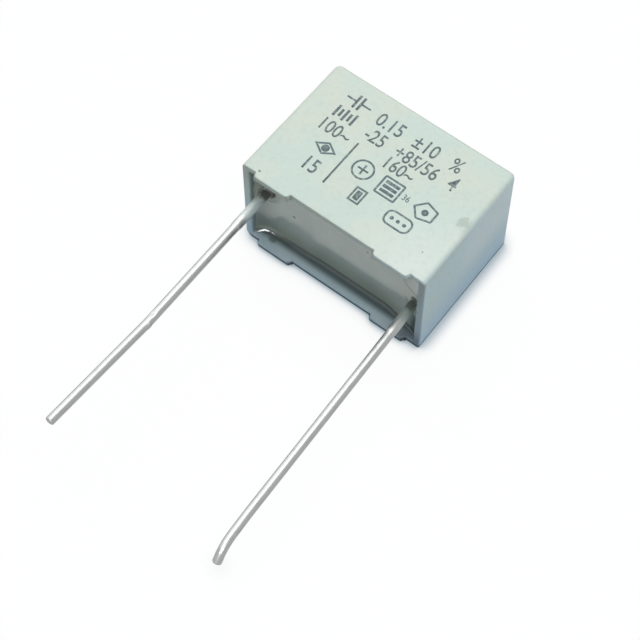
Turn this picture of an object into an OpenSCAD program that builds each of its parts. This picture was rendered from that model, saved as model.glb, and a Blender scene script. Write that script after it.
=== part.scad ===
// Box film capacitor with two radial leads, lying on one large face.
// X runs along the lead pitch, Y from the feet to the closed end and Z through the thickness.
// The origin is in the plane of the foot tips, midway between the leads, at the lower large face.

/* [Case] */
// Thickness of the case through its two large faces, at the foot tips
case_t = 11; // [9:0.5:14]
// Height of the case from the foot tips to the outside of the closed end
case_h = 13; // [10.5:0.5:16]
// Distance from a lead's axis to the outside of the end wall next to it
end_margin = 1.5; // [1.25:0.05:2]
// Thickness of the four side walls
wall = 0.6; // [0.5:0.05:0.75]
// Thickness of the closed end
end_wall = 0.9; // [0.7:0.1:1.3]
// Mould draft of each tapering wall, in degrees
draft = 0.4; // [0:0.1:0.6]
// Outer radius of the long edges and of the closed end
edge_r = 0.5; // [0.3:0.1:0.8]
// Radius of the corners inside the case
inner_r = 0.35; // [0.2:0.05:0.6]

/* [Feet] */
// How far the four standoff feet stand out past the rim
foot_h = 0.4; // [0.2:0.1:0.7]
// Length of each foot along its wall
foot_l = 3.4; // [2:0.2:5]
// Distance from the outside of the end wall to the near end of a foot
foot_inset = 1.45; // [1:0.05:2.5]
// Radius of a foot's two tip corners
foot_r = 0.2; // [0.05:0.05:0.2]

/* [Ribs inside the case] */
// Radius of the half-round ribs that centre the winding
rib_r = 0.25; // [0.15:0.05:0.3]
// Length of a rib, from the closed end
rib_l = 6; // [3:0.5:8]
// Distance between the two ribs on a large wall
rib_pitch = 8; // [5:0.5:11]

/* [Resin] */
// Depth of the resin below the rim, where it meets the walls
resin_depth = 1; // [0.6:0.1:1.5]
// How much deeper the resin is in the middle than at the walls
resin_sag = 0.4; // [0.2:0.1:0.6]

/* [Winding] */
// Resin between the winding and the deepest part of the resin's surface
winding_cover = 0.6; // [0.3:0.1:1.2]
// Gap between the winding and the closed end
winding_end_gap = 0.3; // [0.1:0.1:0.8]
// Gap between the winding and each large wall
winding_side_gap = 0.4; // [0.35:0.05:0.8]
// Corner radius of the pressed winding's cross-section
winding_r = 3.8; // [2:0.2:4.2]
// Thickness of the plain film wrapped round the winding
wrap_t = 0.2; // [0.1:0.05:0.4]
// Thickness of the sprayed metal on each end of the winding
spray_t = 0.4; // [0.2:0.05:0.6]

/* [Leads] */
// Distance between the two leads where they leave the resin
pitch = 15; // [12.5:0.5:18]
// Diameter of the lead wire
lead_d = 0.8; // [0.6:0.05:1]
// Height of the left lead above the middle of the case, and of the right lead below it
lead_skew = 1.05; // [0:0.05:1.5]
// Length of lead that lies on the sprayed metal, beyond the middle of the solder
lead_grip = 2.2; // [1.5:0.1:3]
// How far the lead is pressed into the sprayed metal
lead_sink = 0.08; // [0.05:0.01:0.2]
// Chamfer at the cut end of a lead
lead_chamfer = 0.1; // [0.05:0.05:0.2]
// Inner bend radius of a lead, to its axis, where it leaves the case
exit_r = 4; // [2:0.5:8]
// Outward splay of each lead, in degrees
splay = 0.8; // [0.2:0.1:2]

/* [Left lead] */
// Downward angle of the lead where it leaves the case, in degrees
left_drop = 2; // [0.5:0.5:4]
// Length from the exit bend to the kink
left_near = 14; // [8:0.5:20]
// Upward bend at the kink, in degrees
left_kink = 6.2; // [2:0.2:12]
// Radius of the kink, to the wire's axis
left_kink_r = 1.5; // [1:0.1:4]
// Length from the kink to the cut end
left_far = 11.2; // [5:0.2:18]

/* [Right lead] */
// Downward angle of the lead where it leaves the case, in degrees
right_drop = 3.8; // [0.5:0.1:4.5]
// Length from the exit bend to the sag
right_near = 20.4; // [12:0.2:22]
// Downward bend at the sag, in degrees
right_sag = 5.2; // [1:0.2:6]
// Radius of the sag, to the wire's axis
right_sag_r = 14; // [8:1:20]
// Length between the sag and the bent tip
right_far = 1.1; // [0.5:0.1:2]
// Downward bend of the tip, in degrees
right_tip = 46; // [10:1:55]
// Radius of the tip's bend, to the wire's axis
right_tip_r = 2.6; // [1.5:0.1:3.5]
// Straight end after the tip's bend
right_end = 0.6; // [0.4:0.1:1]

/* [Solder] */
// Radius of the solder where it spreads on the sprayed metal
solder_r = 1.4; // [1:0.1:1.8]
// Radius of the solder over the lead
solder_top_r = 0.8; // [0.5:0.1:0.9]
// Thickness of solder over the lead
solder_cover = 0.15; // [0.1:0.05:0.2]

/* [Hidden] */
$fn = 32;
over = 1;
joint_swell = 0.001;

case_w = pitch + 2 * end_margin;
mid_z = case_t / 2;
rim_y = foot_h;
floor_y = case_h - end_wall;
resin_y = rim_y + resin_depth;

winding_y = resin_y + resin_sag + winding_cover;
winding_h = floor_y - winding_end_gap - winding_y;
winding_t = case_t - 2 * (wall + winding_side_gap);
winding_mid_y = winding_y + winding_h / 2;
spray_face = pitch / 2 - lead_d / 2 + lead_sink;
winding_l = 2 * (spray_face - spray_t);

solder_h = lead_d - lead_sink + solder_cover;
lead_in = winding_mid_y + lead_grip;
lead_exit = rim_y + resin_depth / 2;

case_colour = [0.84, 0.87, 0.83];
resin_colour = [0.48, 0.51, 0.47];
film_colour = [0.70, 0.72, 0.74];
wrap_colour = [0.86, 0.84, 0.74];
spray_colour = [0.62, 0.62, 0.60];
solder_colour = [0.72, 0.73, 0.73];
lead_colour = [0.80, 0.81, 0.80];

// The drafted walls: half width and height of the upper face, a distance y from the foot tips.
// The lower face is the one it lies on, so the upper face takes the draft of both.
function half_w(y) = case_w / 2 - y * tan(draft);
function top_z(y) = case_t - y * tan(2 * draft);
// Radius of the arc that sags by s across a width w
function sag_radius(w, s) = (w * w / 4 + s * s) / (2 * s);

// A ball with points on all three of its axes
module ball(r) {
    rotate_extrude()
        intersection() {
            circle(r);
            translate([0, -r]) square([r, 2 * r]);
        }
}

// A short cone along Y. Only its wide end touches the hull that it is in.
module edge_disc(r) {
    rotate([-90, 0, 0]) cylinder(r1 = r, r2 = r / 2, h = r / 2);
}

// The case's drafted block, set in by inset, with round long edges and a round closed end
module drafted_block(inset, y_open, y_closed, r) {
    y_ball = y_closed - r;
    hull() for (side = [-1, 1]) {
        x_open = side * (half_w(y_open) - inset - r);
        x_ball = side * (half_w(y_ball) - inset - r);
        translate([x_open, y_open, inset + r]) edge_disc(r);
        translate([x_open, y_open, top_z(y_open) - inset - r]) edge_disc(r);
        translate([x_ball, y_ball, inset + r]) ball(r);
        translate([x_ball, y_ball, top_z(y_ball) - inset - r]) ball(r);
    }
}

// A foot's outline seen from above, with round tip corners, long enough to run into the case
module foot_outline() {
    x_near = case_w / 2 - foot_inset - foot_l;
    translate([x_near, foot_r]) square([foot_l, foot_h + over]);
    translate([x_near + foot_r, 0]) square([foot_l - 2 * foot_r, foot_h]);
    for (x = [foot_r, foot_l - foot_r]) translate([x_near + x, foot_r]) circle(foot_r);
}

// What is cut away between the feet, down to the rim
module rim_cut() {
    translate([0, 0, -over]) linear_extrude(case_t + 2 * over) difference() {
        translate([-case_w / 2 - over, -over]) square([case_w + 2 * over, rim_y + over]);
        for (side = [0, 1]) mirror([side, 0]) foot_outline();
    }
}

// Half-round ribs on both large walls, running out from the closed end
module ribs() {
    for (x = [-rib_pitch / 2, rib_pitch / 2], upper = [0, 1])
        translate([x, floor_y + end_wall / 2, upper ? top_z(floor_y) - wall : wall])
            rotate([90 - upper * 2 * draft, 0, 0]) cylinder(r = rib_r, h = rib_l);
}

module case() {
    color(case_colour) {
        difference() {
            drafted_block(0, 0, case_h, edge_r);
            drafted_block(wall, -over, floor_y, inner_r);
            rim_cut();
        }
        intersection() {
            ribs();
            drafted_block(wall / 2, 0, floor_y + end_wall / 2, inner_r);
        }
    }
}

// The air over the resin: its lowest face sags by the same amount both ways
module air_over_resin() {
    inner_w = 2 * (half_w(resin_y) - wall);
    inner_t = top_z(resin_y) - 2 * wall;
    r_w = sag_radius(inner_w, resin_sag);
    r_t = sag_radius(inner_t, resin_sag);
    low_y = resin_y + resin_sag;
    intersection() {
        translate([-case_w, low_y - r_t, wall + inner_t / 2]) rotate([0, 90, 0])
            cylinder(r = r_t, h = 2 * case_w, $fn = 360);
        translate([0, low_y - r_w, -case_t]) cylinder(r = r_w, h = 3 * case_t, $fn = 360);
        translate([-case_w, -over, -over]) cube([2 * case_w, low_y + 2 * over, case_t + 2 * over]);
    }
}

// The pressed winding's cross-section, h high along Y and t thick along Z, drawn in Y and Z
module winding_section(h, t, r) {
    corner = min(r, h / 2 - 0.1, t / 2 - 0.1);
    square([h - 2 * corner, t], center = true);
    square([h, t - 2 * corner], center = true);
    for (y = [-1, 1], z = [-1, 1])
        translate([y * (h / 2 - corner), z * (t / 2 - corner)]) circle(corner);
}

// A bar along X with the winding's section, set in by inset, from x0 and l long
module winding_bar(x0, l, inset) {
    translate([x0, winding_mid_y, mid_z]) rotate([90, 0, 90]) linear_extrude(l)
        winding_section(winding_h - 2 * inset, winding_t - 2 * inset, winding_r - inset);
}

module film_winding() {
    color(film_colour) winding_bar(-winding_l / 2, winding_l, wrap_t);
}

module film_wrap() {
    color(wrap_colour) difference() {
        winding_bar(-winding_l / 2, winding_l, 0);
        winding_bar(-winding_l / 2 - over, winding_l + 2 * over, wrap_t);
    }
}

// side is -1 for the left end and 1 for the right end
module end_spray(side) {
    color(spray_colour) difference() {
        winding_bar(side < 0 ? -spray_face : winding_l / 2, spray_t, 0);
        lead_core(side);
    }
}

// A wire bend of radius r that turns Z by the given angle, towards X turned by roll
module bend(r, angle, roll) {
    rotate([0, 0, roll]) {
        translate([r, 0, 0]) rotate([90, 0, 180]) rotate_extrude(angle = angle, $fn = 96)
            translate([r, 0]) circle(d = lead_d);
        translate([r * (1 - cos(angle)), 0, r * sin(angle)]) rotate([0, angle, 0])
            rotate([0, 0, -roll]) children();
    }
}

// The straight runs and bends of a wire along Z, each [length, bend radius, bend angle, roll].
// A ball a hair thicker than the wire joins each bend to the runs on both sides of it.
module wire(runs, i = 0) {
    run = runs[i];
    cylinder(d = lead_d, h = run[0]);
    if (i > 0) sphere(lead_d / 2 + joint_swell);
    translate([0, 0, run[0]])
        if (i < len(runs) - 1) {
            sphere(lead_d / 2 + joint_swell);
            bend(run[1], run[2], run[3]) wire(runs, i + 1);
        } else
            cylinder(d1 = lead_d, d2 = lead_d - 2 * lead_chamfer, h = lead_chamfer);
}

// Rolls that bend a lead outwards, up or down. The wire starts along -Y, so its own Y is up.
up = 90;
down = -90;
left_runs = [[lead_in - lead_exit, exit_r, splay, 180],
             [0.1, exit_r, left_drop, down],
             [left_near, left_kink_r, left_kink, up],
             [left_far]];
right_runs = [[lead_in - lead_exit, exit_r, splay, 0],
              [0.1, exit_r, right_drop, down],
              [right_near, right_sag_r, right_sag, down],
              [right_far, right_tip_r, right_tip, down],
              [right_end]];

function lead_z(side) = mid_z - side * lead_skew;

module lead(side) {
    color(lead_colour) translate([side * pitch / 2, lead_in, lead_z(side)]) rotate([90, 0, 0])
        wire(side < 0 ? left_runs : right_runs);
}

// The lead's straight run inside the case, which the solder and the resin close round
module lead_core(side) {
    translate([side * pitch / 2, lead_in, lead_z(side)]) rotate([90, 0, 0])
        cylinder(d = lead_d, h = lead_in - lead_exit);
}

// The mound of solder, before the lead is taken out of it
module solder_mound(side) {
    translate([side * spray_face, winding_mid_y, lead_z(side)]) rotate([0, side * 90, 0])
        cylinder(r1 = solder_r, r2 = solder_top_r, h = solder_h);
}

module solder(side) {
    color(solder_colour) difference() {
        solder_mound(side);
        lead_core(side);
    }
}

module potting_resin() {
    color(resin_colour) difference() {
        drafted_block(wall, 0, floor_y, inner_r);
        air_over_resin();
        ribs();
        winding_bar(-spray_face, 2 * spray_face, 0);
        for (side = [-1, 1]) {
            solder_mound(side);
            lead_core(side);
        }
    }
}

case();
potting_resin();
film_winding();
film_wrap();
end_spray(-1);  // end_spray_left
end_spray(1);  // end_spray_right
solder(-1);  // solder_left
solder(1);  // solder_right
lead(-1);  // lead_left
lead(1);  // lead_right
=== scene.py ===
import math
import bmesh
import bpy
from mathutils import Matrix, Vector, noise


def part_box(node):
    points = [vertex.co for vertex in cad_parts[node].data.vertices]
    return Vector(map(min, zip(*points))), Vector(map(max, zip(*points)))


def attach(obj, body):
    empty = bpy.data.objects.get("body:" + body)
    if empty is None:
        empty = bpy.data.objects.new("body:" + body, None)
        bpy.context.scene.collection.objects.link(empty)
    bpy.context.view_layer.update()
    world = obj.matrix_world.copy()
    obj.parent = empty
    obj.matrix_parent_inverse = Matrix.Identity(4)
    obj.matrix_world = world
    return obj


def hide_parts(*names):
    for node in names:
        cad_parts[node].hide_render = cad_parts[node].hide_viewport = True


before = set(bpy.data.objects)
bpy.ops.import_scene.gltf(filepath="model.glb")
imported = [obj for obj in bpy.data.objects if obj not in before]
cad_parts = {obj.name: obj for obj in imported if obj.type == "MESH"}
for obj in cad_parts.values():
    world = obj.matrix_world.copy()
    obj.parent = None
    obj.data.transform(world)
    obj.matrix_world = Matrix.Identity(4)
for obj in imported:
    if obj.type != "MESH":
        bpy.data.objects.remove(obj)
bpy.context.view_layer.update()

mm = 0.001
caseLow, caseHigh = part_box("case")
caseThick = caseHigh.z - caseLow.z


def paint(red, green, blue):
    # display colour to the linear colour that sockets take
    return [c / 12.92 if c <= 0.04045 else ((c + 0.055) / 1.055) ** 2.4 for c in (red, green, blue)] + [1.0]


def newMaterial(name):
    material = bpy.data.materials.new(name)
    material.use_nodes = True
    tree = material.node_tree
    tree.nodes.clear()
    output = tree.nodes.new("ShaderNodeOutputMaterial")
    shader = tree.nodes.new("ShaderNodeBsdfPrincipled")
    tree.links.new(shader.outputs["BSDF"], output.inputs["Surface"])
    return material, tree, shader


def feed(tree, socket, value):
    # a link where value is a socket, otherwise the socket's own value
    if isinstance(value, bpy.types.NodeSocket):
        tree.links.new(value, socket)
    else:
        socket.default_value = value


def maths(tree, operation, a, b=0.0):
    node = tree.nodes.new("ShaderNodeMath")
    node.operation = operation
    feed(tree, node.inputs[0], a)
    feed(tree, node.inputs[1], b)
    return node.outputs[0]


def mixColour(tree, factor, a, b):
    node = tree.nodes.new("ShaderNodeMix")
    node.data_type = "RGBA"
    feed(tree, node.inputs[0], factor)
    feed(tree, node.inputs[6], a)
    feed(tree, node.inputs[7], b)
    return node.outputs[2]


def remap(tree, value, fromLow, fromHigh, toLow, toHigh):
    node = tree.nodes.new("ShaderNodeMapRange")
    node.interpolation_type = "SMOOTHSTEP"
    for label, number in (("Value", value), ("From Min", fromLow), ("From Max", fromHigh),
                          ("To Min", toLow), ("To Max", toHigh)):
        feed(tree, node.inputs[label], number)
    return node.outputs["Result"]


def bumpFrom(tree, height, distance, strength=1.0):
    node = tree.nodes.new("ShaderNodeBump")
    node.inputs["Distance"].default_value = distance
    node.inputs["Strength"].default_value = strength
    tree.links.new(height, node.inputs["Height"])
    return node.outputs["Normal"]


def scaleAndAdd(tree, tone, amount, base):
    return maths(tree, "ADD", maths(tree, "MULTIPLY", tone, amount), base)


def objectCoords(tree, stretch=(1, 1, 1)):
    coords = tree.nodes.new("ShaderNodeTexCoord")
    mapping = tree.nodes.new("ShaderNodeMapping")
    mapping.inputs["Scale"].default_value = stretch
    tree.links.new(coords.outputs["Object"], mapping.inputs["Vector"])
    return mapping.outputs["Vector"]


def newGroup(name, inputs, outputs):
    group = bpy.data.node_groups.new(name, "ShaderNodeTree")
    for label, kind, value in inputs:
        socket = group.interface.new_socket(label, in_out="INPUT", socket_type=kind)
        if value is not None:
            socket.default_value = value
    for label in outputs:
        group.interface.new_socket(label, in_out="OUTPUT", socket_type="NodeSocketFloat")
    start = group.nodes.new("NodeGroupInput").outputs
    end = group.nodes.new("NodeGroupOutput").inputs
    return group, start, end


def useGroup(tree, group, **values):
    node = tree.nodes.new("ShaderNodeGroup")
    node.node_tree = group
    for label, value in values.items():
        feed(tree, node.inputs[label], value)
    return node.outputs


def grainGroup():
    # fine two-layer grain: Height for bump, Tone from -0.5 to 0.5 for colour and roughness
    group, start, end = newGroup(
        "surfaceGrain",
        [("Vector", "NodeSocketVector", None), ("Scale", "NodeSocketFloat", 1000.0)],
        ["Height", "Tone"])
    coarse = group.nodes.new("ShaderNodeTexNoise")
    fine = group.nodes.new("ShaderNodeTexNoise")
    for node, detail in ((coarse, 3.0), (fine, 1.0)):
        node.inputs["Detail"].default_value = detail
        group.links.new(start["Vector"], node.inputs["Vector"])
    group.links.new(start["Scale"], coarse.inputs["Scale"])
    feed(group, fine.inputs["Scale"], maths(group, "MULTIPLY", start["Scale"], 3.7))
    thinLayer = maths(group, "MULTIPLY", fine.outputs[0], 0.35)
    feed(group, end["Height"], maths(group, "ADD", coarse.outputs[0], thinLayer))
    feed(group, end["Tone"], maths(group, "SUBTRACT", coarse.outputs[0], 0.5))
    return group


def speckGroup():
    # rare round specks: one cell in a few holds a speck
    group, start, end = newGroup(
        "straySpecks",
        [("Vector", "NodeSocketVector", None), ("Scale", "NodeSocketFloat", 1000.0),
         ("Size", "NodeSocketFloat", 0.12), ("Share", "NodeSocketFloat", 0.1)],
        ["Mask"])
    cells = group.nodes.new("ShaderNodeTexVoronoi")
    group.links.new(start["Vector"], cells.inputs["Vector"])
    group.links.new(start["Scale"], cells.inputs["Scale"])
    inside = maths(group, "LESS_THAN", cells.outputs["Distance"], start["Size"])
    chance = group.nodes.new("ShaderNodeSeparateColor")
    group.links.new(cells.outputs["Color"], chance.inputs[0])
    chosen = maths(group, "LESS_THAN", chance.outputs[0], start["Share"])
    feed(group, end["Mask"], maths(group, "MULTIPLY", inside, chosen))
    return group


# the share of a stain's radius that is fully stained, where the stain doesn't give its own
softCore = 0.35


def stainGroup():
    # a soft round spot with a ragged edge, for stains and for painted shade
    group, start, end = newGroup(
        "roundStain",
        [("Vector", "NodeSocketVector", None), ("Centre", "NodeSocketVector", None),
         ("Radius", "NodeSocketFloat", 0.001), ("Ragged", "NodeSocketFloat", 0.3),
         ("Core", "NodeSocketFloat", softCore)],
        ["Mask"])
    away = group.nodes.new("ShaderNodeVectorMath")
    away.operation = "DISTANCE"
    group.links.new(start["Vector"], away.inputs[0])
    group.links.new(start["Centre"], away.inputs[1])
    wobble = group.nodes.new("ShaderNodeTexNoise")
    wobble.inputs["Detail"].default_value = 2.0
    group.links.new(start["Vector"], wobble.inputs["Vector"])
    feed(group, wobble.inputs["Scale"], maths(group, "DIVIDE", 1.6, start["Radius"]))
    share = maths(group, "DIVIDE", away.outputs["Value"], start["Radius"])
    shift = maths(group, "MULTIPLY", maths(group, "SUBTRACT", wobble.outputs[0], 0.5), start["Ragged"])
    edge = maths(group, "ADD", share, maths(group, "MULTIPLY", shift, 2.0))
    feed(group, end["Mask"], remap(group, edge, start["Core"], 1.0, 1.0, 0.0))
    return group


grain = grainGroup()
specks = speckGroup()
stain = stainGroup()


def stainMask(tree, vector, spot):
    return useGroup(tree, stain, Vector=vector, Centre=spot["at"], Radius=spot["radius"],
                    Ragged=spot["ragged"], Core=spot.get("core", softCore))["Mask"]


def addStainAndShadeSpot(tree, vector, colour, spot, shade):
    mask = stainMask(tree, vector, spot)
    return mixColour(tree, maths(tree, "MULTIPLY", mask, spot["strength"]), colour, shade)


def fadeMask(tree, vector, fades, strength=1.0):
    # the product of one-way fades: axis, where it starts and where it is full
    split = tree.nodes.new("ShaderNodeSeparateXYZ")
    tree.links.new(vector, split.inputs[0])
    mask = strength
    for axis, start, full in fades:
        mask = maths(tree, "MULTIPLY", remap(tree, split.outputs[axis], start, full, 0.0, 1.0), mask)
    return mask


def addTints(tree, vector, colour, tints):
    for tint in tints:
        mask = fadeMask(tree, vector, tint["fades"], tint["strength"])
        colour = mixColour(tree, mask, colour, tint["shade"])
    return colour


# fades that hold a tint to the inside of the mouth
inRecess = [("X", -8.6 * mm, -8.5 * mm), ("X", 8.6 * mm, 8.5 * mm), ("Y", 12.2 * mm, 12.0 * mm),
            ("Z", 0.4 * mm, 0.5 * mm), ("Z", 10.6 * mm, 10.5 * mm)]
casePlastic = {
    "colour": paint(0.84, 0.885, 0.845), "warm": paint(0.865, 0.885, 0.835),
    # the dirt colour serves the grain, specks and marks, and also paints shade: the dark blob among the
    # spots
    "dirtAndShade": paint(0.42, 0.45, 0.40),
    "roughness": 0.54, "roughTone": 0.25,
    "grainScale": 2600.0, "grainDirt": 0.07, "grainHeight": 0.006 * mm, "grainBump": 0.6,
    "cloudScale": 230.0, "cloudRange": 0.12,
    "speckScale": 620.0, "speckSize": 0.055, "speckShare": 0.1, "speckDirt": 0.35,
    # painted light and shade: low walls bluer, upper rim warmer, right rim, lower right corner and the
    # mouth's walls shaded, right side lit towards its far end, the mouth's left wall shaded, a contact
    # shadow along the lower edge, front right of the upper face lit, and a dark line along the back edge
    "tints": [
        {"shade": paint(0.77, 0.85, 0.92), "strength": 0.6, "fades": [("Z", 6.5 * mm, 0.0)]},
        {"shade": paint(0.80, 0.78, 0.68), "strength": 0.7,
         "fades": [("Y", 0.7 * mm, 0.5 * mm), ("Z", 6 * mm, 10.3 * mm), ("Z", 10.97 * mm, 10.88 * mm)]},
        {"shade": paint(0.46, 0.53, 0.58), "strength": 0.5,
         "fades": [("Y", 0.62 * mm, 0.5 * mm), ("X", 8.3 * mm, 8.5 * mm)]},
        {"shade": paint(0.22, 0.28, 0.33), "strength": 0.6,
         "fades": [("X", 5.5 * mm, 7.5 * mm), ("X", 8.99 * mm, 8.9 * mm), ("Z", 3.0 * mm, 1.0 * mm),
                   ("Y", 3.0 * mm, 1.4 * mm)]},
        {"shade": paint(0.22, 0.29, 0.31), "strength": 0.85,
         "fades": [("Y", 0.62 * mm, 1.35 * mm)] + inRecess},
        {"shade": paint(0.95, 0.95, 0.91), "strength": 0.9,
         "fades": [("X", 8.8 * mm, 8.95 * mm), ("Y", 2.0 * mm, 12.0 * mm), ("Z", 2.5 * mm, 7.0 * mm)]},
        {"shade": paint(0.26, 0.32, 0.31), "strength": 0.5,
         "fades": [("X", -8.2 * mm, -8.3 * mm), ("Y", 0.5 * mm, 0.7 * mm)] + inRecess},
        {"shade": paint(0.08, 0.11, 0.14), "strength": 0.95,
         "fades": [("Z", 0.5 * mm, 0.26 * mm), ("Z", 0.0, 0.03 * mm)]},
        {"shade": paint(0.90, 0.93, 0.90), "strength": 0.8,
         "fades": [("X", 0.0, 8.0 * mm), ("Y", 9.0 * mm, 0.0), ("Z", 10.4 * mm, 10.9 * mm)]},
        {"shade": paint(0.42, 0.41, 0.38), "strength": 0.45,
         "fades": [("Y", 12.7 * mm, 12.85 * mm), ("Z", 10.6 * mm, 10.75 * mm)]},
    ],
    "spots": [
        {"at": (-7.41 * mm, 0.67 * mm, 10.99 * mm), "radius": 0.16 * mm, "ragged": 0.4, "strength": 0.8},
        {"at": (7.19 * mm, 2.55 * mm, 10.96 * mm), "radius": 0.11 * mm, "ragged": 0.3, "strength": 0.6},
        {"at": (8.22 * mm, 6.7 * mm, 10.9 * mm), "radius": 0.75 * mm, "ragged": 0.9, "strength": 0.28},
        # painted shade: a dark blob inside the lower wall by the left corner, standing in for a dark
        # reflection there
        {"at": (-6.6 * mm, 1.07 * mm, 0.6 * mm), "radius": 0.55 * mm, "ragged": 0.3, "strength": 0.75},
    ],
}


def makeCaseMaterial():
    look = casePlastic
    material, tree, shader = newMaterial("casePlastic")
    vector = objectCoords(tree)
    skin = useGroup(tree, grain, Vector=vector, Scale=look["grainScale"])
    cloud = useGroup(tree, grain, Vector=vector, Scale=look["cloudScale"])
    dots = useGroup(tree, specks, Vector=vector, Scale=look["speckScale"], Size=look["speckSize"],
                    Share=look["speckShare"])["Mask"]
    warmth = remap(tree, cloud["Tone"], -look["cloudRange"], look["cloudRange"], 0.0, 1.0)
    colour = mixColour(tree, warmth, look["colour"], look["warm"])
    colour = addTints(tree, vector, colour, look["tints"])
    dust = remap(tree, skin["Tone"], -0.05, 0.25, 0.0, look["grainDirt"])
    colour = mixColour(tree, dust, colour, look["dirtAndShade"])
    colour = mixColour(tree, maths(tree, "MULTIPLY", dots, look["speckDirt"]), colour, look["dirtAndShade"])
    for spot in look["spots"]:
        colour = addStainAndShadeSpot(tree, vector, colour, spot, look["dirtAndShade"])
    feed(tree, shader.inputs["Base Color"], colour)
    rough = scaleAndAdd(tree, cloud["Tone"], look["roughTone"], look["roughness"])
    feed(tree, shader.inputs["Roughness"], rough)
    bump = bumpFrom(tree, skin["Height"], look["grainHeight"], look["grainBump"])
    feed(tree, shader.inputs["Normal"], bump)
    return material


# where the leads come out of the resin
roots = {
    "lead_left": Vector((-7.5 * mm, 1.4 * mm, 6.55 * mm)),
    "lead_right": Vector((7.5 * mm, 1.4 * mm, 4.45 * mm)),
}
resinLook = {
    "colour": paint(0.80, 0.79, 0.70), "cloudy": paint(0.83, 0.815, 0.73), "ior": 1.66,
    "roughness": 0.12, "roughTone": 0.2,
    "cloudScale": 420.0, "cloudRange": 0.15,
    "grainScale": 1500.0, "grainHeight": 0.004 * mm, "grainBump": 0.5,
    # pit is the painted shade in the right lead's pit, and the colour of three specks
    "flux": paint(0.20, 0.15, 0.12), "pit": paint(0.20, 0.23, 0.19),
    # painted shade: darker along the lower wall, in the lower right corner, over the lower half and at the
    # left end
    "tints": [
        {"shade": paint(0.17, 0.26, 0.26), "strength": 1.0, "fades": [("Z", 1.08 * mm, 0.74 * mm)]},
        {"shade": paint(0.24, 0.30, 0.34), "strength": 0.85,
         "fades": [("X", 7.1 * mm, 7.8 * mm), ("Z", 3.6 * mm, 2.6 * mm)]},
        {"shade": paint(0.45, 0.50, 0.44), "strength": 0.2, "fades": [("Z", 4.2 * mm, 1.2 * mm)]},
        {"shade": paint(0.32, 0.38, 0.35), "strength": 0.45, "fades": [("X", -6.0 * mm, -8.3 * mm)]},
    ],
    # the residue at the left lead, painted shade in the pit at the right lead, and three specks
    "spots": [
        {"shade": "flux", "at": roots["lead_left"] + Vector((0.42, 0.0, 0.4)) * mm, "radius": 0.7 * mm,
         "ragged": 0.35, "core": 0.6, "strength": 0.9},
        {"shade": "pit", "at": roots["lead_right"] + Vector((0.12, 0.0, 0.5)) * mm, "radius": 0.55 * mm,
         "ragged": 0.3, "core": 0.6, "strength": 0.75},
        {"shade": "pit", "at": (-4.88 * mm, 1.8 * mm, 4.98 * mm), "radius": 0.2 * mm,
         "ragged": 0.3, "strength": 1.0},
        {"shade": "pit", "at": (2.55 * mm, 1.8 * mm, 7.05 * mm), "radius": 0.2 * mm,
         "ragged": 0.5, "strength": 0.6},
        {"shade": "pit", "at": (5.8 * mm, 1.25 * mm, 0.65 * mm), "radius": 0.3 * mm,
         "ragged": 0.4, "strength": 0.9},
    ],
    # the surface is duller round the left lead
    "dull": {"at": roots["lead_left"], "radius": 1.7 * mm, "ragged": 0.2, "core": 0.6, "roughness": 0.35},
}


def makeResinMaterial():
    look = resinLook
    material, tree, shader = newMaterial("pottingResin")
    shader.inputs["IOR"].default_value = look["ior"]
    vector = objectCoords(tree)
    cloud = useGroup(tree, grain, Vector=vector, Scale=look["cloudScale"])
    skin = useGroup(tree, grain, Vector=vector, Scale=look["grainScale"])
    milk = remap(tree, cloud["Tone"], -look["cloudRange"], look["cloudRange"], 0.0, 1.0)
    colour = addTints(tree, vector, mixColour(tree, milk, look["colour"], look["cloudy"]), look["tints"])
    for spot in look["spots"]:
        colour = addStainAndShadeSpot(tree, vector, colour, spot, look[spot["shade"]])
    feed(tree, shader.inputs["Base Color"], colour)
    dull = stainMask(tree, vector, look["dull"])
    rough = scaleAndAdd(tree, cloud["Tone"], look["roughTone"], look["roughness"])
    feed(tree, shader.inputs["Roughness"], scaleAndAdd(tree, dull, look["dull"]["roughness"], rough))
    bump = bumpFrom(tree, skin["Height"], look["grainHeight"], look["grainBump"])
    feed(tree, shader.inputs["Normal"], bump)
    return material


inkLook = {
    "colour": paint(0.42, 0.47, 0.48), "thin": paint(0.62, 0.67, 0.66), "grainScale": 3400.0,
    "roughness": 0.6, "roughTone": 0.2,
}


def makeInkMaterial():
    look = inkLook
    material, tree, shader = newMaterial("printInk")
    patch = useGroup(tree, grain, Vector=objectCoords(tree), Scale=look["grainScale"])
    worn = remap(tree, patch["Tone"], -0.02, 0.2, 0.0, 1.0)
    feed(tree, shader.inputs["Base Color"], mixColour(tree, worn, look["colour"], look["thin"]))
    rough = scaleAndAdd(tree, patch["Tone"], look["roughTone"], look["roughness"])
    feed(tree, shader.inputs["Roughness"], rough)
    return material


wireLook = {
    "colour": paint(0.64, 0.65, 0.645), "dull": paint(0.52, 0.53, 0.53), "fleck": paint(0.22, 0.23, 0.22),
    "roughness": 0.36, "roughTone": 0.25, "coatAndReflectionRoughness": 0.42, "coatAndReflectionMetal": 0.1,
    "coatAndReflectionEdge": 0.6 * mm, "coatAndReflectionRagged": 1.2 * mm,
    "drawScale": 9000.0, "drawStretch": (1, 0.05, 1), "drawHeight": 0.002 * mm, "drawBump": 0.1,
    "patchScale": 900.0,
    "fleckScale": 1500.0, "fleckSize": 0.16, "fleckShare": 0.16, "fleckStrength": 0.7,
}


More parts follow.
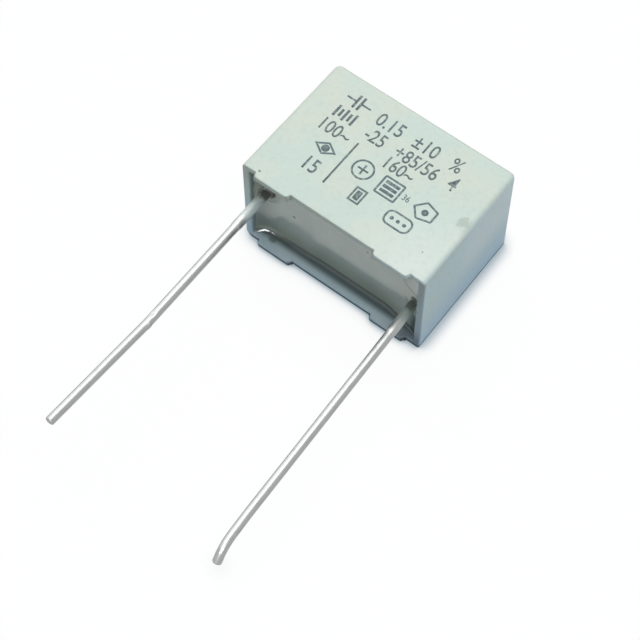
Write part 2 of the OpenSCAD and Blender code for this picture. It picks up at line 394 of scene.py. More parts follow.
def makeWireMaterial(wire):
    # bright drawn tin, with a dull coated stretch and a darker collar next to the root;
    # on the right lead the dull stretch is no coat but a painted dark reflection of the mouth
    look = wireLook
    material, tree, shader = newMaterial(wire["name"] + "Tin")
    vector = objectCoords(tree)
    drawn = useGroup(tree, grain, Vector=objectCoords(tree, look["drawStretch"]), Scale=look["drawScale"])
    patch = useGroup(tree, grain, Vector=vector, Scale=look["patchScale"])
    flecks = useGroup(tree, specks, Vector=vector, Scale=look["fleckScale"], Size=look["fleckSize"],
                      Share=look["fleckShare"])["Mask"]
    split = tree.nodes.new("ShaderNodeSeparateXYZ")
    tree.links.new(vector, split.inputs[0])
    ragged = scaleAndAdd(tree, patch["Tone"], look["coatAndReflectionRagged"], split.outputs["Y"])

    def nearRoot(length):
        end = roots[wire["node"]].y - length
        return remap(tree, ragged, end - look["coatAndReflectionEdge"], end + look["coatAndReflectionEdge"], 0.0, 1.0)

    coatAndReflectionMask = nearRoot(wire["coatAndReflection"])
    tin = mixColour(tree, remap(tree, drawn["Tone"], 0.0, 0.22, 0.0, 0.35), look["colour"], look["dull"])
    tin = mixColour(tree, remap(tree, patch["Tone"], 0.08, 0.25, 0.0, 0.4), tin, look["dull"])
    flecked = maths(tree, "MULTIPLY", flecks, look["fleckStrength"])
    coatAndReflection = mixColour(tree, flecked, wire["coatAndReflectionColour"], look["fleck"])
    coatAndReflection = mixColour(tree, nearRoot(wire["collar"]), coatAndReflection, wire["collarColour"])
    coatAndReflection = addStainAndShadeSpot(tree, vector, coatAndReflection, wire["residue"], resinLook["flux"])
    feed(tree, shader.inputs["Base Color"], mixColour(tree, coatAndReflectionMask, tin, coatAndReflection))
    feed(tree, shader.inputs["Metallic"], remap(tree, coatAndReflectionMask, 0.0, 1.0, 1.0, look["coatAndReflectionMetal"]))
    rough = scaleAndAdd(tree, patch["Tone"], look["roughTone"], look["roughness"])
    rougher = look["coatAndReflectionRoughness"] - look["roughness"]
    feed(tree, shader.inputs["Roughness"], scaleAndAdd(tree, coatAndReflectionMask, rougher, rough))
    bump = bumpFrom(tree, drawn["Height"], look["drawHeight"], look["drawBump"])
    feed(tree, shader.inputs["Normal"], bump)
    return material


def dress(nodeName, material):
    # a CAD node's own mesh takes the material of the piece it stands for
    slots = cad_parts[nodeName].data.materials
    slots.clear()
    slots.append(material)


def finishPiece(bm, name, material, smoothAngle, slot, *replaced):
    mesh = bpy.data.meshes.new(name)
    bm.to_mesh(mesh)
    bm.free()
    mesh.shade_smooth()
    if smoothAngle:
        mesh.set_sharp_from_angle(angle=math.radians(smoothAngle))
    mesh.materials.append(material)
    piece = bpy.data.objects.new(name, mesh)
    bpy.context.scene.collection.objects.link(piece)
    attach(piece, "root")
    if replaced:
        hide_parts(*replaced)
    return piece


caseDims = {
    "wall": 0.6 * mm, "endWall": 0.9 * mm, "draft": math.radians(0.4),
    "edgeRadius": 0.5 * mm, "innerRadius": 0.35 * mm, "segments": 8,
    "lowerLeftRadius": 0.8 * mm, "lowerRightRadius": 0.2 * mm,
    "footHeight": 0.4 * mm, "footFrom": 4.15 * mm, "footTo": 7.55 * mm, "footSteps": 7,
    "lip": 0.11 * mm, "lipSegments": 3, "lipAngle": 40, "flatAngle": 0.3, "flatWeight": 100,
}
halfWidth = caseHigh.x + caseDims["footHeight"] * math.tan(caseDims["draft"])
rimY = caseLow.y + caseDims["footHeight"]
tiny = 0.001 * mm


def topZ(y):
    return caseHigh.z - y * math.tan(2 * caseDims["draft"])


def taper(bm):
    # mould draft: the sides close in evenly, and the upper face takes the draft of both faces
    for vert in bm.verts:
        y = vert.co.y
        vert.co.x *= 1 - y * math.tan(caseDims["draft"]) / halfWidth
        vert.co.z *= topZ(y) / caseHigh.z


def ease(share):
    share = min(max(share, 0), 1)
    return share * share * (3 - 2 * share)


def footShape(x):
    # how far the rim stands out at x: a quarter round at a foot's base and another at its tip
    radius = caseDims["footHeight"] / 2
    inward = min(abs(x) - caseDims["footFrom"], caseDims["footTo"] - abs(x))
    across = min(max(abs(inward), 0), radius)
    rise = math.sqrt(max(radius * radius - (radius - across) ** 2, 0))
    return radius + math.copysign(rise, inward)


def onRim(element):
    return all(abs(vert.co.y - rimY) < tiny for vert in element.verts)


def roundEdges(bm, edges, radius, segments):
    bmesh.ops.bevel(bm, geom=edges, offset=radius, offset_type="OFFSET", affect="EDGES",
                    segments=segments, profile=0.5, material=-1)


def makeCase(material):
    dims = caseDims
    low = Vector((-halfWidth, rimY, caseLow.z))
    high = Vector((halfWidth, caseHigh.y, caseHigh.z))
    bm = bmesh.new()
    verts = bmesh.ops.create_cube(bm, size=1.0)["verts"]
    bmesh.ops.scale(bm, vec=high - low, verts=verts)
    bmesh.ops.translate(bm, vec=(low + high) / 2, verts=verts)
    mouth = [face for face in bm.faces if onRim(face)]
    bmesh.ops.inset_individual(bm, faces=mouth, thickness=dims["wall"], use_even_offset=True)
    cavity = bmesh.ops.extrude_discrete_faces(bm, faces=mouth)["faces"][0]
    bmesh.ops.translate(bm, vec=(0, high.y - dims["endWall"] - low.y, 0), verts=cavity.verts)
    inside = {edge for vert in cavity.verts for edge in vert.link_edges}
    outside = {edge for edge in bm.edges if max(vert.co.y for vert in edge.verts) > high.y - tiny}
    roundEdges(bm, list(inside), dims["innerRadius"], dims["segments"])
    roundEdges(bm, [edge for edge in outside if edge.is_valid], dims["edgeRadius"], dims["segments"])
    for step in range(-dims["footSteps"], dims["footSteps"] + 1):
        turn = math.pi / 2 * step / dims["footSteps"]
        along = math.copysign(dims["footHeight"] / 2 * (1 - math.cos(turn)), step)
        for x in (dims["footFrom"] + along, dims["footTo"] + along):
            for side in (-1, 1):
                everything = bm.verts[:] + bm.edges[:] + bm.faces[:]
                bmesh.ops.bisect_plane(bm, geom=everything, dist=tiny / 10,
                                       plane_co=(side * x, 0, 0), plane_no=(1, 0, 0))
    for vert in bm.verts:
        # the long lower edges have radii of their own
        side = "lowerRightRadius" if vert.co.x > 0 else "lowerLeftRadius"
        inward, up = high.x - abs(vert.co.x), vert.co.z - low.z
        if max(inward, up) < dims["edgeRadius"] + tiny:
            grow = dims[side] / dims["edgeRadius"]
            vert.co.x = math.copysign(high.x - inward * grow, vert.co.x)
            vert.co.z = low.z + up * grow
        if abs(vert.co.y - rimY) < tiny:
            vert.co.y -= footShape(vert.co.x)
    bmesh.ops.dissolve_limit(bm, angle_limit=math.radians(dims["flatAngle"]), verts=bm.verts, edges=bm.edges)
    taper(bm)
    piece = finishPiece(bm, "caseShell", material, 0, "case_plastic", "case")
    lip = piece.modifiers.new("lip", "BEVEL")
    lip.limit_method = "ANGLE"
    lip.angle_limit = math.radians(dims["lipAngle"])
    lip.width = dims["lip"]
    lip.segments = dims["lipSegments"]
    lip.use_clamp_overlap = False
    flat = piece.modifiers.new("flatFaces", "WEIGHTED_NORMAL")
    flat.weight = dims["flatWeight"]
    return piece


resinDims = {
    "edgeDepth": 1.0 * mm, "middleDepth": 1.4 * mm, "leastDepth": 0.12 * mm, "overlap": 0.01 * mm,
    "columns": 220, "rows": 140, "crowding": 0.72,
    # the climb at each wall: height and reach; then an extra climb in the lower left corner
    "climbLeft": (0.9 * mm, 0.5 * mm), "climbRight": (0.8 * mm, 0.75 * mm),
    "climbLow": (0.3 * mm, 0.12 * mm), "climbHigh": (0.4 * mm, 0.34 * mm),
    "corner": {"height": 0.36 * mm, "reachX": 2.2 * mm, "reachZ": 0.36 * mm},
    "wobble": 0.005 * mm, "wobbleSize": 2.6 * mm, "pitSteepness": 2.2, "smoothAngle": 50,
    # the surface leans a little towards each end: slope, where it starts and over what length
    "leans": [(0.07, 4.4 * mm, 2.6 * mm), (0.022, -1.5 * mm, -2.5 * mm)],
}
# round each lead: the mound's height and reach, and the pit's depth, radius and offset in x and z
rootShapes = [
    {"node": "lead_left", "mound": 0.8 * mm, "reach": 0.8 * mm, "pit": 0.3 * mm, "radius": 0.75 * mm,
     "offset": (0.14 * mm, 0.34 * mm)},
    {"node": "lead_right", "mound": 0.3 * mm, "reach": 0.6 * mm, "pit": 0.2 * mm, "radius": 0.5 * mm,
     "offset": (0.12 * mm, 0.5 * mm)},
]
# a flat drop on the surface, with a steep edge
drop = {"at": (7.4 * mm, 7.25 * mm), "radius": 1.45 * mm, "height": 0.07 * mm, "edge": 0.2 * mm}


def resinDepth(x, z, halfX, halfZ):
    # depth below the rim: flat in the middle, drawn up at the walls and leads, with a pit at each lead
    dims = resinDims
    climb = 0.0
    for gap, (height, reach) in ((x + halfX, dims["climbLeft"]), (halfX - x, dims["climbRight"]),
                                 (z + halfZ, dims["climbLow"]), (halfZ - z, dims["climbHigh"])):
        climb += height * math.exp(-max(gap, 0) / reach)
    corner = dims["corner"]
    spread = ((x + halfX) / corner["reachX"]) ** 2 + ((z + halfZ) / corner["reachZ"]) ** 2
    climb += corner["height"] * math.exp(-spread)
    pits = 0.0
    for shape in rootShapes:
        root = roots[shape["node"]]
        fromX, fromZ = x - root.x, z - root.z + caseThick / 2
        climb += shape["mound"] * math.exp(-(math.hypot(fromX, fromZ) / shape["reach"]) ** 2)
        pitAway = math.hypot(fromX - shape["offset"][0], fromZ - shape["offset"][1])
        pits += shape["pit"] * ease(dims["pitSteepness"] * (1 - pitAway / shape["radius"]))
    away = math.hypot(x - drop["at"][0], z - drop["at"][1] + caseThick / 2)
    climb += drop["height"] * ease((drop["radius"] - away) / drop["edge"])
    for slope, start, length in dims["leans"]:
        climb -= slope * z * ease((x - start) / length)
    most = dims["middleDepth"] - dims["leastDepth"]
    return dims["middleDepth"] - most * math.tanh(climb / most) + pits


def makeResin(material):
    dims = resinDims
    inner = Vector((halfWidth, 0, caseThick / 2)) - Vector((caseDims["wall"], 0, caseDims["wall"]))
    halfX, halfZ = inner.x + dims["overlap"], inner.z + dims["overlap"]
    middleZ = caseLow.z + caseThick / 2
    radius = caseDims["innerRadius"]
    bm = bmesh.new()
    bmesh.ops.create_grid(bm, x_segments=dims["columns"], y_segments=dims["rows"], size=1.0)
    crowding = dims["crowding"]
    for vert in bm.verts:
        # the rows crowd towards the walls, where the surface bends most
        x, z = (math.sin(c * math.pi / 2) * crowding + c * (1 - crowding) for c in vert.co.xy)
        x, z = x * halfX, z * halfZ
        cornerX = max(abs(x) - halfX + radius, 0)
        cornerZ = max(abs(z) - halfZ + radius, 0)
        reach = math.hypot(cornerX, cornerZ)
        if cornerX > 0 and cornerZ > 0 and reach > radius:
            x = math.copysign(halfX - radius + cornerX * radius / reach, x)
            z = math.copysign(halfZ - radius + cornerZ * radius / reach, z)
        depth = resinDepth(x, z, halfX, halfZ)
        wave = noise.noise(Vector((x, z, 0)) / dims["wobbleSize"]) * dims["wobble"]
        vert.co = (x, rimY + depth + wave, z + middleZ)
    edges = [edge for edge in bm.edges if edge.is_boundary]
    made = bmesh.ops.extrude_edge_only(bm, edges=edges)["geom"]
    bottom = caseHigh.y - caseDims["endWall"] + dims["overlap"]
    for vert in made:
        if isinstance(vert, bmesh.types.BMVert):
            vert.co.y = bottom
    bmesh.ops.contextual_create(bm, geom=[e for e in made if isinstance(e, bmesh.types.BMEdge)])
    bmesh.ops.recalc_face_normals(bm, faces=bm.faces)
    taper(bm)
    return finishPiece(bm, "resinFill", material, dims["smoothAngle"], "potting_resin", "potting_resin")


wireDims = {
    "radius": 0.4 * mm, "sides": 36, "section": 0.22 * mm, "bendSteps": 8,
    "exitRadius": 4 * mm, "splay": 0.8, "exitGap": 0.1 * mm, "smoothAngle": 50,
    # the coat swells the wire: by how much, over what lengths it grows and shrinks back,
    # how far inside the resin it starts, and its run to the first bend
    "swell": 1.1, "swellIn": 0.2 * mm, "swellOut": (0.1 * mm, 0.12 * mm, 0.1 * mm),
    "swellFrom": 1.2 * mm, "swellTo": 1.0 * mm,
}
# a straight gives its length, a bend its radius, degrees and direction, a ring its advance and scale;
# a dent gives its centre, its reach and how far it pushes the surface
leftWire = {
    "name": "leftLead", "node": "lead_left", "side": -1, "exitDrop": 2, "coatAndReflection": 3.0 * mm,
    "coatAndReflectionColour": paint(0.84, 0.87, 0.85), "collar": 1.05 * mm, "collarColour": paint(0.80, 0.81, 0.77),
    "runs": [("straight", 10.68 * mm), ("bend", 1.5 * mm, 6.2, "up"), ("straight", 11.197 * mm),
             ("ring", 0.02 * mm, 0.99), ("ring", 0.05 * mm, 0.94), ("ring", 0.03 * mm, 0.85)],
    "residue": {"at": (-7.3 * mm, 1.3 * mm, 6.8 * mm), "radius": 0.9 * mm, "ragged": 0.6, "core": 0.5,
                "strength": 0.8},
    "dents": [((-7.75 * mm, -12.7 * mm, 6.5 * mm), 0.32 * mm, (0.06 * mm, 0, -0.11 * mm)),
              ((-7.3 * mm, -13.6 * mm, 6.2 * mm), 0.4 * mm, (0.1 * mm, 0, 0.02 * mm))],
}
rightWire = {
    "name": "rightLead", "node": "lead_right", "side": 1, "exitDrop": 3.8, "coatAndReflection": 2.0 * mm,
    # painted reflection: this lead's dull grey stretch by the root stands in for the mouth's dark reflection
    # in the tin
    "coatAndReflectionColour": paint(0.66, 0.69, 0.66), "collar": 0.3 * mm, "collarColour": paint(0.50, 0.54, 0.50),
    "runs": [("straight", 18.08 * mm), ("bend", 14 * mm, 5.2, "down"), ("straight", 1.1 * mm),
             ("bend", 2.6 * mm, 46, "down"), ("straight", 0.6 * mm), ("ring", 0.03 * mm, 0.985),
             ("ring", 0.03 * mm, 0.95), ("ring", 0.025 * mm, 0.86), ("ring", 0.015 * mm, 0.6)],
    "residue": {"at": (7.5 * mm, 1.0 * mm, 4.9 * mm), "radius": 0.6 * mm, "ragged": 0.5, "core": 0.5,
                "strength": 0.6},
    "dents": [],
}


def sweep(bm, ring, steps, cent=(0, 0, 0), axis=(0, 0, 1), angle=0.0, dvec=(0, 0, 0)):
    made = bmesh.ops.spin(bm, geom=ring, cent=cent, axis=axis, dvec=dvec, angle=angle, steps=steps,
                          use_merge=False, use_duplicate=False)
    return made["geom_last"]


def makeWire(wire, material):
    dims = wireDims
    start = roots[wire["node"]].copy()
    start.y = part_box(wire["node"])[1].y
    bm = bmesh.new()
    made = bmesh.ops.create_circle(bm, segments=dims["sides"], radius=dims["radius"])
    ring = made["verts"] + list({edge for vert in made["verts"] for edge in vert.link_edges})
    upright = Matrix.Rotation(math.radians(90), 3, "X")
    bmesh.ops.rotate(bm, cent=(0, 0, 0), matrix=upright, verts=made["verts"])
    bmesh.ops.translate(bm, vec=start, verts=made["verts"])
    bmesh.ops.contextual_create(bm, geom=[e for e in ring if isinstance(e, bmesh.types.BMEdge)])
    toSide = {"out": Vector((wire["side"], 0, 0)), "up": Vector((0, 0, 1)), "down": Vector((0, 0, -1))}
    point, heading = start.copy(), Vector((0, -1, 0))
    back = dims["swell"] ** (-1 / len(dims["swellOut"]))
    route = [("straight", start.y - (rimY + resinDims["edgeDepth"] / 2) - dims["swellFrom"]),
             ("ring", dims["swellIn"], dims["swell"]), ("straight", dims["swellTo"]),
             ("bend", dims["exitRadius"], dims["splay"], "out"), ("straight", dims["exitGap"]),
             ("bend", dims["exitRadius"], wire["exitDrop"], "down"), ("straight", wire["coatAndReflection"])]
    route += [("ring", advance, back) for advance in dims["swellOut"]] + wire["runs"]
    for kind, length, *more in route:
        if kind == "bend":
            degrees, direction = more
            towards = toSide[direction]
            towards = (towards - heading * towards.dot(heading)).normalized()
            axis = heading.cross(towards)
            centre = point + towards * length
            angle = math.radians(degrees)
            ring = sweep(bm, ring, dims["bendSteps"], cent=centre, axis=axis, angle=angle)
            turn = Matrix.Rotation(angle, 3, axis)
            point = centre + turn @ (point - centre)
            heading = turn @ heading
            continue
        steps = max(1, round(length / dims["section"]))
        ring = sweep(bm, ring, steps, dvec=heading * length / steps, axis=heading)
        point += heading * length
        if kind == "ring":
            verts = [v for v in ring if isinstance(v, bmesh.types.BMVert)]
            bmesh.ops.scale(bm, vec=(more[0],) * 3, space=Matrix.Translation(-point), verts=verts)
    bmesh.ops.contextual_create(bm, geom=[e for e in ring if isinstance(e, bmesh.types.BMEdge)])
    for centre, reach, push in wire["dents"]:
        for vert in bm.verts:
            away = (vert.co - Vector(centre)).length / reach
            if away < 1:
                vert.co += Vector(push) * (1 - away * away) ** 2
    bmesh.ops.recalc_face_normals(bm, faces=bm.faces)
    return finishPiece(bm, wire["name"], material, dims["smoothAngle"], "tinned_wire", wire["node"])


# places and sizes of figures and marks are in millimetres on the printed face
printDims = {
    "lift": 0.009 * mm, "sunk": 0.004 * mm, "stroke": 0.17 * mm, "bold": 0.008, "narrow": 0.8,
    # figureShare is a figure's height in the font, as a share of the font's size
    "figureShare": 0.72, "curveSteps": 4, "dotSides": 20, "cornerSteps": 5, "smoothAngle": 30,
    "figures": [("0.15", (-1.75, 10.5), 1.35), ("±10", (1.75, 10.55), 1.35), ("%", (4.7, 10.6), 1.35),
                ("-25", (-2.0, 8.8), 1.3), ("+85/56", (2.0, 8.85), 1.3), ("4", (5.45, 9.0), 1.4),
                ("160~", (1.2, 7.5), 1.25), ("100~", (-5.1, 7.4), 1.3), ("15", (-4.6, 3.6), 1.4),
                ("36", (3.3, 5.7), 0.6)],
}


def joinFlat(bm, part, centre):
    # adds a flat part, drawn round the origin, at its place on the printed face
    bmesh.ops.translate(part, vec=(centre[0] * mm, centre[1] * mm, 0), verts=part.verts)
    mesh = bpy.data.meshes.new("flatPart")
    part.to_mesh(mesh)
    part.free()
    bm.from_mesh(mesh)
    bpy.data.meshes.remove(mesh)


def addNumber(bm, words, centre, height):
    curve = bpy.data.curves.new("number", "FONT")
    curve.body = words
    curve.align_x = "CENTER"
    curve.align_y = "CENTER"
    curve.offset = printDims["bold"]
    curve.resolution_u = printDims["curveSteps"]
    holder = bpy.data.objects.new("number", curve)
    bpy.context.scene.collection.objects.link(holder)
    mesh = holder.to_mesh()
    part = bmesh.new()
    part.from_mesh(mesh)
    holder.to_mesh_clear()
    bpy.data.objects.remove(holder)
    size = height * mm / printDims["figureShare"]
    bmesh.ops.scale(part, vec=(size * printDims["narrow"], size, 1), verts=part.verts)
    joinFlat(bm, part, centre)


def addBar(bm, centre, width, height):
    part = bmesh.new()
    bmesh.ops.create_grid(part, x_segments=1, y_segments=1, size=0.5)
    bmesh.ops.scale(part, vec=(width * mm, height * mm, 1), verts=part.verts)
    joinFlat(bm, part, centre)


def addOutline(bm, sides, centre, width, height, turn=0.0, corner=0.0):
    part = bmesh.new()
    bmesh.ops.create_circle(part, cap_ends=True, segments=sides, radius=0.5)
    matrix = Matrix.Rotation(math.radians(turn), 3, "Z")
    bmesh.ops.rotate(part, cent=(0, 0, 0), matrix=matrix, verts=part.verts)
    spanX = max(v.co.x for v in part.verts) - min(v.co.x for v in part.verts)
    spanY = max(v.co.y for v in part.verts) - min(v.co.y for v in part.verts)
    bmesh.ops.scale(part, vec=(width * mm / spanX, height * mm / spanY, 1), verts=part.verts)
    if corner:
        bmesh.ops.bevel(part, geom=part.verts[:], offset=corner * mm, offset_type="OFFSET",
                        affect="VERTICES", segments=printDims["cornerSteps"], profile=0.5, material=-1)
    face = part.faces[:]
    bmesh.ops.inset_individual(part, faces=face, thickness=printDims["stroke"], use_even_offset=True)
    bmesh.ops.delete(part, geom=face, context="FACES_ONLY")
    joinFlat(bm, part, centre)


def addDot(bm, centre, size):
    part = bmesh.new()
    bmesh.ops.create_circle(part, cap_ends=True, segments=printDims["dotSides"], radius=size * mm / 2)
    joinFlat(bm, part, centre)


def makePrint(material):
    bm = bmesh.new()
    stroke = printDims["stroke"] / mm
    for words, centre, height in printDims["figures"]:
        addNumber(bm, words, centre, height)
    # the divider, and a row of short strokes
    addBar(bm, (-2.8, 5.25), stroke, 4.7)
    for i in range(5):
        addBar(bm, (-6.1 + 0.42 * i, 9.1), stroke * 1.3, 1.2 if i % 2 == 0 else 0.8)
    # a capacitor's symbol: two plates and two wires
    for side in (-1, 1):
        addBar(bm, (-5.1 + side * 0.22, 10.75), stroke * 1.3, 1.4)
        addBar(bm, (-5.1 + side * 0.72, 10.75), 0.9, stroke)
    # plain marks: a diamond, a circle, a square, a pentagon and two panels, each with bars or dots in it
    addOutline(bm, 4, (-4.6, 5.6), 2.1, 1.35)
    addDot(bm, (-4.6, 5.6), 0.7)
    addOutline(bm, 40, (-1.0, 5.8), 1.95, 1.95)
    addBar(bm, (-1.0, 5.8), 1.0, stroke)
    addBar(bm, (-1.0, 5.8), stroke, 1.0)
    addOutline(bm, 4, (1.75, 5.65), 2.0, 1.9, turn=45, corner=0.15)
    for i in range(3):
        addBar(bm, (1.75, 5.2 + 0.45 * i), 1.3, stroke * 1.7)
    addOutline(bm, 5, (5.25, 5.6), 2.1, 1.9, turn=18, corner=0.12)
    addDot(bm, (5.25, 5.55), 0.6)
    addOutline(bm, 4, (0.1, 3.6), 1.1, 1.5, turn=45)
    addBar(bm, (0.1, 3.6), 0.5, 0.9)
    addOutline(bm, 4, (4.05, 3.6), 2.5, 1.5, turn=45, corner=0.6)
    for i in range(3):
        addDot(bm, (3.45 + 0.6 * i, 3.6), 0.34)
    bmesh.ops.remove_doubles(bm, verts=bm.verts, dist=0.2 * tiny)
    bmesh.ops.triangulate(bm, faces=bm.faces)
    for face in bm.faces:
        if face.normal.z < 0:
            face.normal_flip()
    for vert in bm.verts:
        vert.co.z = topZ(vert.co.y) - printDims["sunk"]
    piece = finishPiece(bm, "printMarks", material, printDims["smoothAngle"], "print_ink")
    thick = piece.modifiers.new("inkThickness", "SOLIDIFY")
    thick.thickness = printDims["lift"] + printDims["sunk"]
    thick.offset = 1.0
    return piece


hiddenLooks = {
    "metallisedFilm": {
        "nodes": ["film_winding"], "colour": paint(0.70, 0.72, 0.74), "shade": paint(0.62, 0.64, 0.67),
        "roughness": 0.3, "roughTone": 0.3, "metallic": 0.6, "grainScale": 800.0, "bump": 0.01 * mm},
    "plainFilm": {
        "nodes": ["film_wrap"], "colour": paint(0.86, 0.84, 0.74), "shade": paint(0.80, 0.78, 0.68),
        "roughness": 0.25, "roughTone": 0.3, "metallic": 0.0, "grainScale": 500.0, "bump": 0.01 * mm},
    "sprayedMetal": {
        "nodes": ["end_spray_left", "end_spray_right"],
        "colour": paint(0.62, 0.62, 0.60), "shade": paint(0.48, 0.48, 0.47),
        "roughness": 0.7, "roughTone": 0.3, "metallic": 0.9, "grainScale": 5000.0, "bump": 0.05 * mm},
    "solderMetal": {
        "nodes": ["solder_left", "solder_right"],
        "colour": paint(0.72, 0.73, 0.73), "shade": paint(0.60, 0.61, 0.62),
        "roughness": 0.35, "roughTone": 0.3, "metallic": 1.0, "grainScale": 1500.0, "bump": 0.02 * mm},
}


def makeHiddenMaterial(name, look):
    # two tones, grain and roughness at the piece's own scale
    material, tree, shader = newMaterial(name)
    shader.inputs["Metallic"].default_value = look["metallic"]
    skin = useGroup(tree, grain, Vector=objectCoords(tree), Scale=look["grainScale"])
    tone = remap(tree, skin["Tone"], -0.2, 0.2, 0.0, 1.0)
    feed(tree, shader.inputs["Base Color"], mixColour(tree, tone, look["colour"], look["shade"]))
    rough = scaleAndAdd(tree, skin["Tone"], look["roughTone"], look["roughness"])
    feed(tree, shader.inputs["Roughness"], rough)
    feed(tree, shader.inputs["Normal"], bumpFrom(tree, skin["Height"], look["bump"]))
    return material


print("case")
plastic = makeCaseMaterial()
makeCase(plastic)
dress("case", plastic)
print("resin")
resin = makeResinMaterial()
makeResin(resin)
dress("potting_resin", resin)
print("leads")
for wire in (leftWire, rightWire):
    tin = makeWireMaterial(wire)
    makeWire(wire, tin)
    dress(wire["node"], tin)
print("print")
makePrint(makeInkMaterial())
print("hidden pieces")
for name, look in hiddenLooks.items():
    hidden = makeHiddenMaterial(name, look)
    for nodeName in look["nodes"]:
        dress(nodeName, hidden)


# the floor lights the object with its own colour, looks white, and keeps a shadow where the object stands;
# close round the object that shadow is painted, from ambient occlusion
floorLook = {
    "size": 3.0, "colour": paint(0.58, 0.66, 0.74), "roughness": 0.9,
    "seen": paint(0.98, 0.99, 1.0), "white": 0.96,
    "contact": paint(0.60, 0.67, 0.71), "contactReach": 1.6 * mm, "covered": 0.4, "open": 0.99,
}


def seenBy(tree, path):
    # 1 where the camera looks, straight or by way of metal or glass
    mirrored = maths(tree, "MAXIMUM", path.outputs["Is Glossy Ray"], path.outputs["Is Transmission Ray"])
    return maths(tree, "MAXIMUM", path.outputs["Is Camera Ray"], mirrored)


def makeFloor():
    look = floorLook
    material, tree, shader = newMaterial("paleFloor")
    shader.inputs["Roughness"].default_value = look["roughness"]
    white = tree.nodes.new("ShaderNodeEmission")
    path = tree.nodes.new("ShaderNodeLightPath")
    mix = tree.nodes.new("ShaderNodeMixShader")
    # painted contact shadow: near the object the white turns to the contact colour
    near = tree.nodes.new("ShaderNodeAmbientOcclusion")
    near.inputs["Distance"].default_value = look["contactReach"]
    clear = remap(tree, near.outputs["AO"], look["covered"], look["open"], 0.0, 1.0)
    feed(tree, white.inputs["Color"], mixColour(tree, clear, look["contact"], [1.0] * 4))
    seen = seenBy(tree, path)
    feed(tree, shader.inputs["Base Color"], mixColour(tree, seen, look["colour"], look["seen"]))
    feed(tree, mix.inputs[0], maths(tree, "MULTIPLY", seen, look["white"]))
    tree.links.new(shader.outputs["BSDF"], mix.inputs[1])
    tree.links.new(white.outputs[0], mix.inputs[2])
    output = next(node for node in tree.nodes if node.type == "OUTPUT_MATERIAL")
    tree.links.new(mix.outputs[0], output.inputs["Surface"])
    bm = bmesh.new()
    bmesh.ops.create_grid(bm, x_segments=1, y_segments=1, size=look["size"] / 2)
    mesh = bpy.data.meshes.new("floor")
    bm.to_mesh(mesh)
    bm.free()
    mesh.materials.append(material)
    floor = bpy.data.objects.new("floor", mesh)
    bpy.context.scene.collection.objects.link(floor)


worldLook = {"colour": (0.66, 0.85, 1.0, 1.0), "strength": 0.28}


def makeWorld():
    world = bpy.data.worlds.new("studio")
    world.use_nodes = True
    tree = world.node_tree
    tree.nodes.clear()
    output = tree.nodes.new("ShaderNodeOutputWorld")
    shine = tree.nodes.new("ShaderNodeBackground")
    white = tree.nodes.new("ShaderNodeBackground")
    mix = tree.nodes.new("ShaderNodeMixShader")
    path = tree.nodes.new("ShaderNodeLightPath")
    white.inputs["Color"].default_value = (1.0, 1.0, 1.0, 1.0)
    shine.inputs["Color"].default_value = worldLook["colour"]
    shine.inputs["Strength"].default_value = worldLook["strength"]
    tree.links.new(seenBy(tree, path), mix.inputs[0])
    tree.links.new(shine.outputs[0], mix.inputs[1])
    tree.links.new(white.outputs[0], mix.inputs[2])
    tree.links.new(mix.outputs[0], output.inputs["Surface"])
    bpy.context.scene.world = world


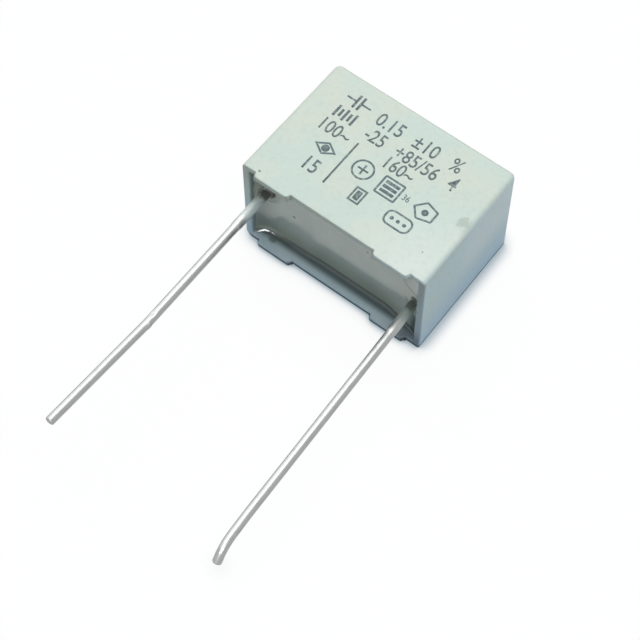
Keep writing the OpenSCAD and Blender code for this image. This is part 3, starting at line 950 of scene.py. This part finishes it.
# matt lamps light matt surfaces, mirrored lamps show in shiny ones, and two of these show in the leads alone
leadsOnly = ("leftLead", "rightLead")
softboxes = {
    "keyLight": {"at": (-0.22, 0.167, 0.356), "size": (0.2, 0.2), "power": 0.52,
                 "colour": (1.0, 0.985, 0.93), "matt": True, "mirrored": False},
    "glintLight": {"at": (-0.09, -0.2, 0.42), "size": (0.40, 1.3), "power": 4.6, "colour": (1.0, 1.0, 1.0),
                   "matt": False, "mirrored": True, "flat": True, "onlyFor": leadsOnly},
    "topLight": {"at": (0.04, 0.09, 0.6), "size": (0.7, 0.6), "power": 2.42, "colour": (1.0, 0.99, 0.95),
                 "matt": True, "mirrored": False},
    "sideLight": {"at": (0.42, 0.02, 0.16), "size": (0.25, 0.25), "power": 0.19, "colour": (0.64, 0.84, 1.0),
                  "matt": True, "mirrored": False},
    "stripLight": {"at": (0.07, -0.395, 0.186), "size": (0.26, 0.045), "power": 0.82,
                   "colour": (0.95, 0.98, 1.0), "matt": False, "mirrored": True},
    "edgeLight": {"at": (-0.42, 0.0, 0.22), "size": (0.9, 0.3), "power": 1.1, "colour": (1.0, 1.0, 1.0),
                  "matt": False, "mirrored": True, "onlyFor": leadsOnly},
}


def makeLights():
    for name, box in softboxes.items():
        lamp = bpy.data.lights.new(name, "AREA")
        lamp.shape = "RECTANGLE"
        lamp.size, lamp.size_y = box["size"]
        lamp.energy = box["power"]
        lamp.color = box["colour"]
        holder = bpy.data.objects.new(name, lamp)
        holder.visible_glossy = box["mirrored"]
        holder.visible_diffuse = box["matt"]
        holder.location = box["at"]
        if not box.get("flat"):
            holder.rotation_euler = (-Vector(box["at"])).to_track_quat("-Z", "Y").to_euler()
        bpy.context.scene.collection.objects.link(holder)
        if "onlyFor" in box:
            lit = bpy.data.collections.new(name + "Lit")
            for lead in box["onlyFor"]:
                lit.objects.link(bpy.data.objects[lead])
            holder.light_linking.receiver_collection = lit


cameraView = {"lookAt": (2.757 * mm, -4.704 * mm, 5.5 * mm), "distance": 149.32 * mm,
              "azimuth": -52.5, "elevation": 62.22, "lens": 105.97, "sensor": 36, "clipStart": 0.01}


def makeCamera():
    look = cameraView
    lens = bpy.data.cameras.new("camera")
    lens.lens = look["lens"]
    lens.sensor_width = look["sensor"]
    lens.clip_start = look["clipStart"]
    azimuth, elevation = math.radians(look["azimuth"]), math.radians(look["elevation"])
    towards = Vector((math.cos(azimuth) * math.cos(elevation),
                      math.sin(azimuth) * math.cos(elevation), math.sin(elevation)))
    camera = bpy.data.objects.new("camera", lens)
    camera.location = Vector(look["lookAt"]) + towards * look["distance"]
    camera.rotation_euler = towards.to_track_quat("Z", "Y").to_euler()
    bpy.context.scene.collection.objects.link(camera)
    bpy.context.scene.camera = camera


print("floor, light and camera")
makeFloor()
makeWorld()
makeLights()
makeCamera()
bpy.context.scene.view_settings.view_transform = "Standard"
